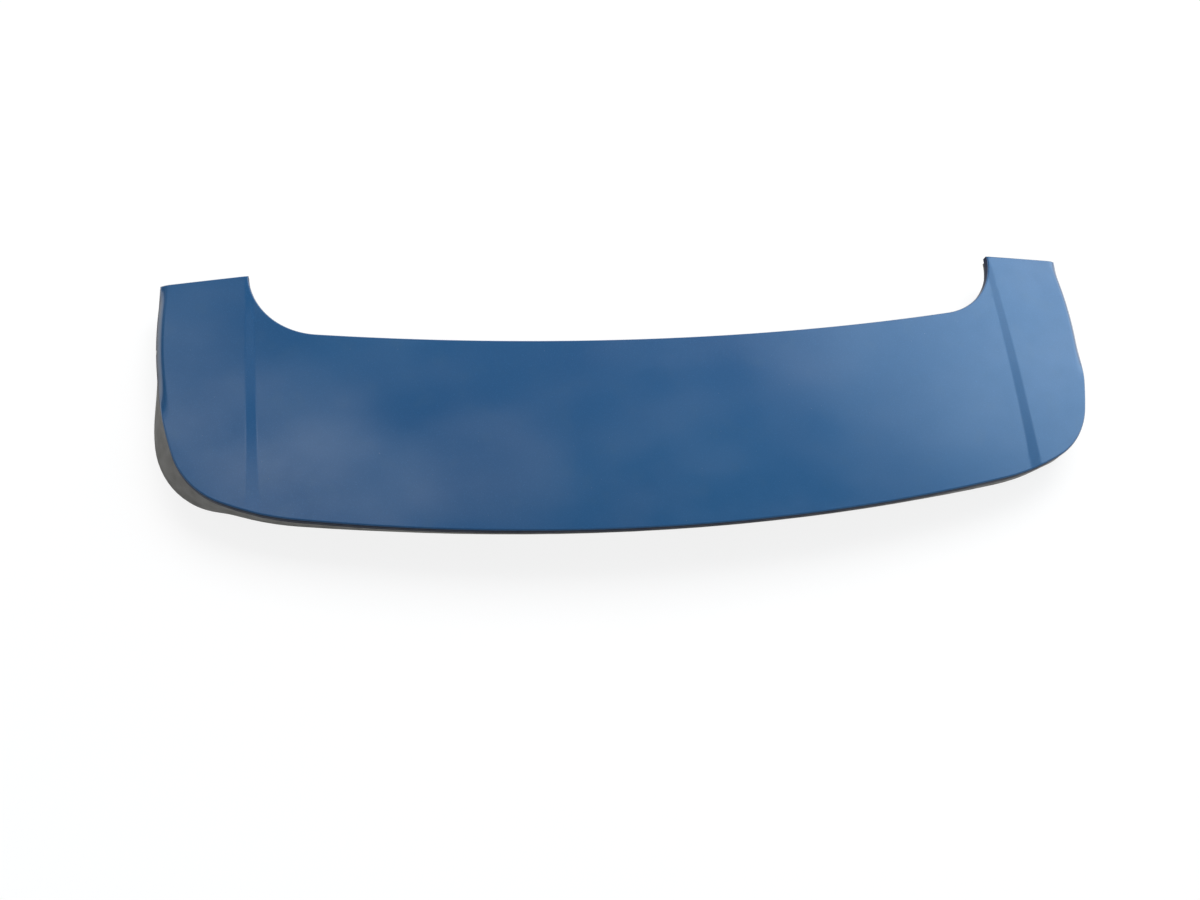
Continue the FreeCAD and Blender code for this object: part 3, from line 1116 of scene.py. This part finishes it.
@dataclass
class Studio:
    """Floor, sky, lamp and camera, in metres and radians."""

    floor_level: float = -0.0302
    floor_size: float = 30.0
    floor_drift: Mottle = Mottle(4.0, 3.0, (0.3, 0.7))
    floor_tone: Span = (0.93, 0.95)
    floor_bounce: float = 0.30
    floor_roughness: float = 0.9
    shadow_veil: float = 0.85
    sky_base: float = 0.08
    cloud_gain: float = 0.34
    clouds: Mottle = Mottle(10.0, 3.0, (0.40, 0.68))
    wall_top: float = 0.20
    lamp_place: Place = (0.6, 1.9, 3.1)
    lamp_size: float = 2.2
    lamp_watts: float = 150.0
    eye: Place = (-0.3251, -0.5759, 1.3860)
    tilt: float = -0.3503
    lean: float = 0.1735
    roll: float = 0.0521
    focal_pixels: float = 1250.0
    image_width: float = 1200.0
    sensor_width: float = 36.0

    def floor(self) -> None:
        """Lays a plain pale floor, dim to the light that bounces off it, with a veil over its shadow."""
        half = 0.5 * self.floor_size
        corners = [(x * half, y * half, self.floor_level) for x, y in ((-1, -1), (1, -1), (1, 1), (-1, 1))]
        mesh = bpy.data.meshes.new("studio_floor")
        mesh.from_pydata(corners, [], [[0, 1, 2, 3]])
        floor = stand("studio_floor", mesh)
        sheet = FinishSheet("studio_floor")
        dark, light = self.floor_tone
        pale = sheet.tone(self.floor_drift, grey(dark), grey(light))
        seen = sheet.seen()
        sheet.feed(Base_Color=sheet.mix(seen, grey(self.floor_bounce), pale), Roughness=self.floor_roughness)
        veil = sheet.node("ShaderNodeEmission", Strength=1.0)
        share = sheet.math("MULTIPLY", seen, self.shadow_veil)
        both = sheet.blend(share, sheet.shader.outputs[0], veil.outputs[0])
        sheet.join(sheet.tree.nodes["Material Output"].inputs["Surface"], both)
        mesh.materials.append(sheet.material)

    def backdrop(self, nodes: ShaderNodes, heading: bpy.types.NodeSocket) -> bpy.types.NodeSocket:
        """Where the world is plain white: all of it for the camera, and a low wall all round for mirrors.

        Args:
            nodes: the world's nodes.
            heading: direction into the sky.

        Returns:
            The share of white.
        """
        low = nodes.stretch(nodes.upward(heading), (0.5 * self.wall_top, self.wall_top), (1.0, 0.0))
        wall = nodes.math("MULTIPLY", nodes.seen(), low)
        return nodes.math("MAXIMUM", nodes.node("ShaderNodeLightPath").outputs["Is Camera Ray"], wall)

    def sky(self) -> None:
        """Lights the scene with a soft clouded sky that the camera sees as white."""
        world = bpy.data.worlds.new("studio_sky")
        bpy.context.scene.world = world
        world.use_nodes = True
        nodes = ShaderNodes(world.node_tree)
        heading = nodes.node("ShaderNodeTexCoord").outputs["Generated"]
        cloud = nodes.node("ShaderNodeTexNoise", Vector=heading, Scale=self.clouds.scale,
                           Detail=self.clouds.detail)
        total = nodes.stretch(cloud.outputs["Fac"], self.clouds.limits,
                              (self.sky_base, self.sky_base + self.cloud_gain))
        for patch in SKY_PATCHES:
            total = nodes.vector("ADD", total, patch.light(nodes, heading))
        light = nodes.tree.nodes["Background"]
        nodes.join(light.inputs["Color"], total)
        white = nodes.node("ShaderNodeBackground", Color=opaque(grey(1.0)))
        both = nodes.blend(self.backdrop(nodes, heading), light.outputs[0], white.outputs[0])
        nodes.join(nodes.tree.nodes["World Output"].inputs["Surface"], both)

    def lamp(self) -> None:
        """Hangs a soft square lamp that faces the spoiler and isn't seen in the paint."""
        data = bpy.data.lights.new("key_softbox", "AREA")
        data.size = self.lamp_size
        data.energy = self.lamp_watts
        lamp = stand("key_softbox", data)
        lamp.location = self.lamp_place
        lamp.visible_glossy = False
        lamp.rotation_euler = (-Vector(self.lamp_place)).to_track_quat("-Z", "Y").to_euler()

    def camera(self) -> None:
        """Stands the camera where the photograph was taken."""
        data = bpy.data.cameras.new("photo_camera")
        data.sensor_width = self.sensor_width
        data.sensor_fit = "HORIZONTAL"
        data.lens = self.sensor_width * self.focal_pixels / self.image_width
        camera = stand("photo_camera", data)
        turn = Matrix.Rotation(self.roll, 3, "Z") @ Matrix.Rotation(self.lean, 3, "Y")
        turn = turn @ Matrix.Rotation(self.tilt, 3, "X")
        camera.matrix_world = Matrix.Translation(self.eye) @ turn.transposed().to_4x4()
        bpy.context.scene.camera = camera


def main() -> None:
    """Builds the pieces in order and dresses them."""
    logging.basicConfig(level=logging.INFO)
    bpy.context.scene.view_settings.view_transform = "Standard"
    materials = {slot: finish.make() for slot, finish in FINISHES.items()}
    upper = UpperShell(Panel())
    shell = upper.build()
    upper.dress(shell, materials[Slot.PAINT])
    threads = StudThreads()
    threads.dress(threads.build(materials[Slot.STEEL]))
    specks = DustSpecks()
    specks.dress(specks.build(shell, DUST.make()))
    Fittings().dress(materials)
    studio = Studio()
    studio.floor()
    studio.sky()
    studio.lamp()
    studio.camera()


if __name__ == "__main__":
    main()
